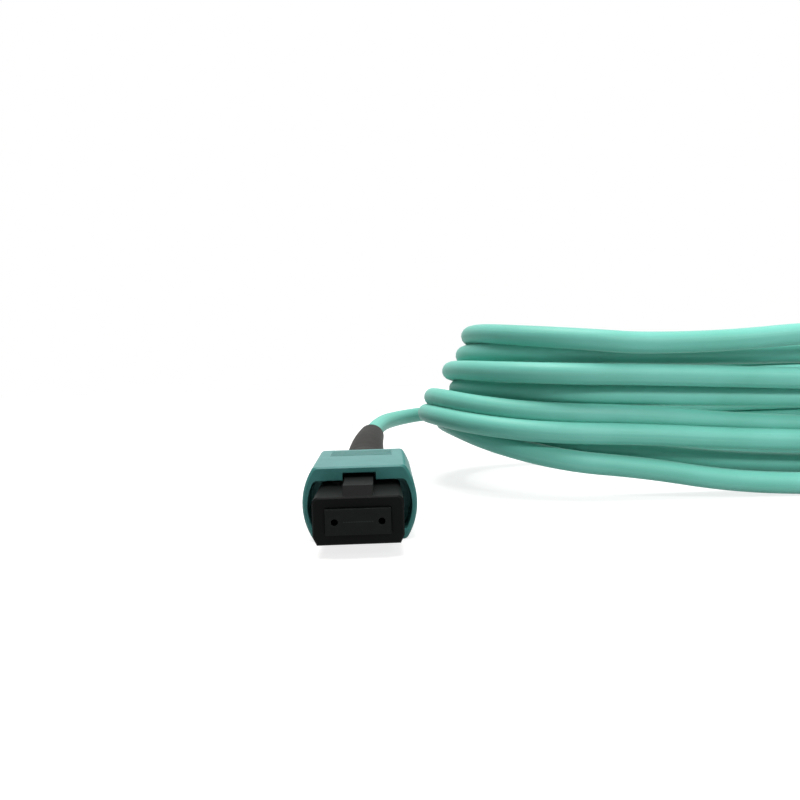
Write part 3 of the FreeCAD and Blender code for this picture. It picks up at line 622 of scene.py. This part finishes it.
def coil_points():
    """The turns in order, each as right bend, near side, left bend and far side."""
    points = list(LEAD_IN)
    for turn, following in zip(TURNS, TURNS[1:] + [None]):
        height, inset = turn["joins"]
        near, behind = turn["near"], turn["behind"]
        points += bend(BEND_X + turn["reach"], FAR_Y - inset, NEAR_Y + behind[0], True,
                       (height, (height + near[0]) / 2, near[0]))
        near_x = (BEND_X + turn["reach"], *NEAR_X[1:])
        points += [(x, NEAR_Y + back, z) for x, back, z in zip(near_x, behind, near)]
        tip_x, tip_z = turn["tip"]
        left_z, left_inset = turn["far_side"]
        radius = (FAR_Y - left_inset - NEAR_Y - behind[-1]) / 2
        points += bend(tip_x + radius, NEAR_Y + behind[-1], FAR_Y - left_inset, False,
                       (near[-1], tip_z, left_z))
        if following:
            height, inset = following["joins"]
            for x in NEAR_X[:0:-1]:
                share = (x - NEAR_X[-1]) / (NEAR_X[0] - NEAR_X[-1])
                points.append((x, FAR_Y - left_inset - (inset - left_inset) * share,
                               left_z + (height - left_z) * share))
    return points


def cord_line():
    """The whole cord as one smooth round curve, from post to post."""
    points = [POST_END] + LEAD + coil_points() + CLOSING + TAIL[::-1] + [FAR_POST_END]
    curve = bpy.data.curves.new("cable", "CURVE")
    curve.dimensions = "3D"
    spline = curve.splines.new("NURBS")
    spline.points.add(len(points) - 1)
    for place, point in zip(spline.points, points):
        place.co = (*(Vector(point) * MM), 1)
        place.radius = CABLE_RADIUS * MM
    spline.order_u = 3
    spline.use_endpoint_u = True
    spline.resolution_u = 6
    curve.bevel_depth = 1.0            # metres, so each point's radius is the cable's own
    curve.bevel_resolution = 6
    curve.use_fill_caps = True
    cable = bpy.data.objects.new("cable", curve)
    bpy.context.scene.collection.objects.link(cable)
    return cable


cable = cord_line()
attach(cable, "plug")
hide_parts("cable_lead", "cable_coil", "cable_tail")
cable.data.materials.append(FINISHES["cable"])

# the second plug's own pieces, without the solids that new pieces stand for
replaced = ("spring", "fibre_bundle")
far_pieces = [piece for piece in nodes.values()
              if piece.name.startswith("far_") and not piece.name.endswith(replaced)]
far_pieces += [piece for piece in new_pieces if piece.name.startswith("far_")]


# ---------------------------------------------------------------- stage, light and camera

# Places are in metres here
FLOOR_GLOW = 0.80                      # what the paper adds to its own white for the lens
FLOOR_CORNERS = [(-2.0, -1.0, 0), (2.0, -1.0, 0), (2.0, 1.3, 0), (-2.0, 1.3, 0)]
SKY_FILL = 0.17                        # the studio's light on the object; the lens sees 1
LAMP_WHITE = "#FFFDFA"
CAMERA_PLACE = (0.0021625, -0.073862, 0.0172429)
CAMERA_YAW, CAMERA_PITCH, CAMERA_ROLL = -0.0369, -0.0327, 0.0273
CAMERA_LENS = 27.9                     # millimetres on a sensor 36 wide


def shown_directly(tree):
    """1 for what the lens sees directly, mirrored or through glass, and 0 for bounced light."""
    path = add(tree, "ShaderNodeLightPath")
    seen = add(tree, "ShaderNodeMath", {
        0: path.outputs["Is Camera Ray"], 1: path.outputs["Is Glossy Ray"]},
        operation="MAXIMUM").outputs[0]
    return add(tree, "ShaderNodeMath", {0: seen, 1: path.outputs["Is Transmission Ray"]},
               operation="MAXIMUM").outputs[0]


def paper_floor():
    """Seamless white paper: it shows white, keeps soft shadows and throws back little light."""
    material, tree = new_material("white_paper_floor")
    paper = add(tree, "ShaderNodeBsdfDiffuse", {"Color": (0.42, 0.42, 0.42, 1.0)}).outputs[0]
    strength = add(tree, "ShaderNodeMath", {0: shown_directly(tree), 1: FLOOR_GLOW},
                   operation="MULTIPLY").outputs[0]
    glow = add(tree, "ShaderNodeEmission", {"Strength": strength}).outputs[0]
    both = add(tree, "ShaderNodeAddShader", {0: paper, 1: glow}).outputs[0]
    add(tree, "ShaderNodeOutputMaterial", {"Surface": both})
    return material


def softbox(name, place, aim, size, power, spread_degrees):
    """A square studio light at a place, turned towards a point; its grid narrows the spread."""
    lamp = bpy.data.lights.new(name, "AREA")
    lamp.shape = "SQUARE"
    lamp.size = size
    lamp.energy = power
    lamp.spread = math.radians(spread_degrees)
    lamp.color = colour(LAMP_WHITE)[:3]
    light = bpy.data.objects.new(name, lamp)
    light.location = place
    light.rotation_euler = (Vector(aim) - Vector(place)).to_track_quat("-Z", "Y").to_euler()
    bpy.context.scene.collection.objects.link(light)


floor_mesh = bpy.data.meshes.new("floor")
floor_mesh.from_pydata(FLOOR_CORNERS, [], [(0, 1, 2, 3)])
floor_mesh.materials.append(paper_floor())
floor = bpy.data.objects.new("floor", floor_mesh)
bpy.context.scene.collection.objects.link(floor)

softbox("overhead", (-0.22, 0.10, 3.0), (0.02, 0.02, 0.0),
        size=1.8, power=98.0, spread_degrees=180.0)
softbox("gridded_coil_front", (0.115, -0.20, 0.17), (0.056, 0.009, 0.012),
        size=0.05, power=0.0100, spread_degrees=27.0)

world = bpy.data.worlds.new("studio")
bpy.context.scene.world = world
world.use_nodes = True
tree = world.node_tree
tree.nodes.clear()
surround = add(tree, "ShaderNodeMapRange", {
    "Value": shown_directly(tree), "To Min": SKY_FILL, "To Max": 1.0}).outputs[0]
sky = add(tree, "ShaderNodeBackground", {
    "Color": (1.0, 1.0, 1.0, 1.0), "Strength": surround}).outputs[0]
add(tree, "ShaderNodeOutputWorld", {"Surface": sky})

camera_data = bpy.data.cameras.new("camera")
camera_data.lens = CAMERA_LENS
camera_data.sensor_width = 36
camera_data.clip_start = 0.005
camera = bpy.data.objects.new("camera", camera_data)
bpy.context.scene.collection.objects.link(camera)
turn = (Matrix.Rotation(CAMERA_YAW, 4, "Z") @ Matrix.Rotation(CAMERA_PITCH, 4, "X")
        @ Matrix.Rotation(CAMERA_ROLL, 4, "Y"))
camera.matrix_world = (Matrix.Translation(CAMERA_PLACE) @ turn
                       @ Matrix.Rotation(math.radians(90), 4, "X"))
bpy.context.scene.camera = camera

bpy.context.scene.view_settings.view_transform = "Standard"
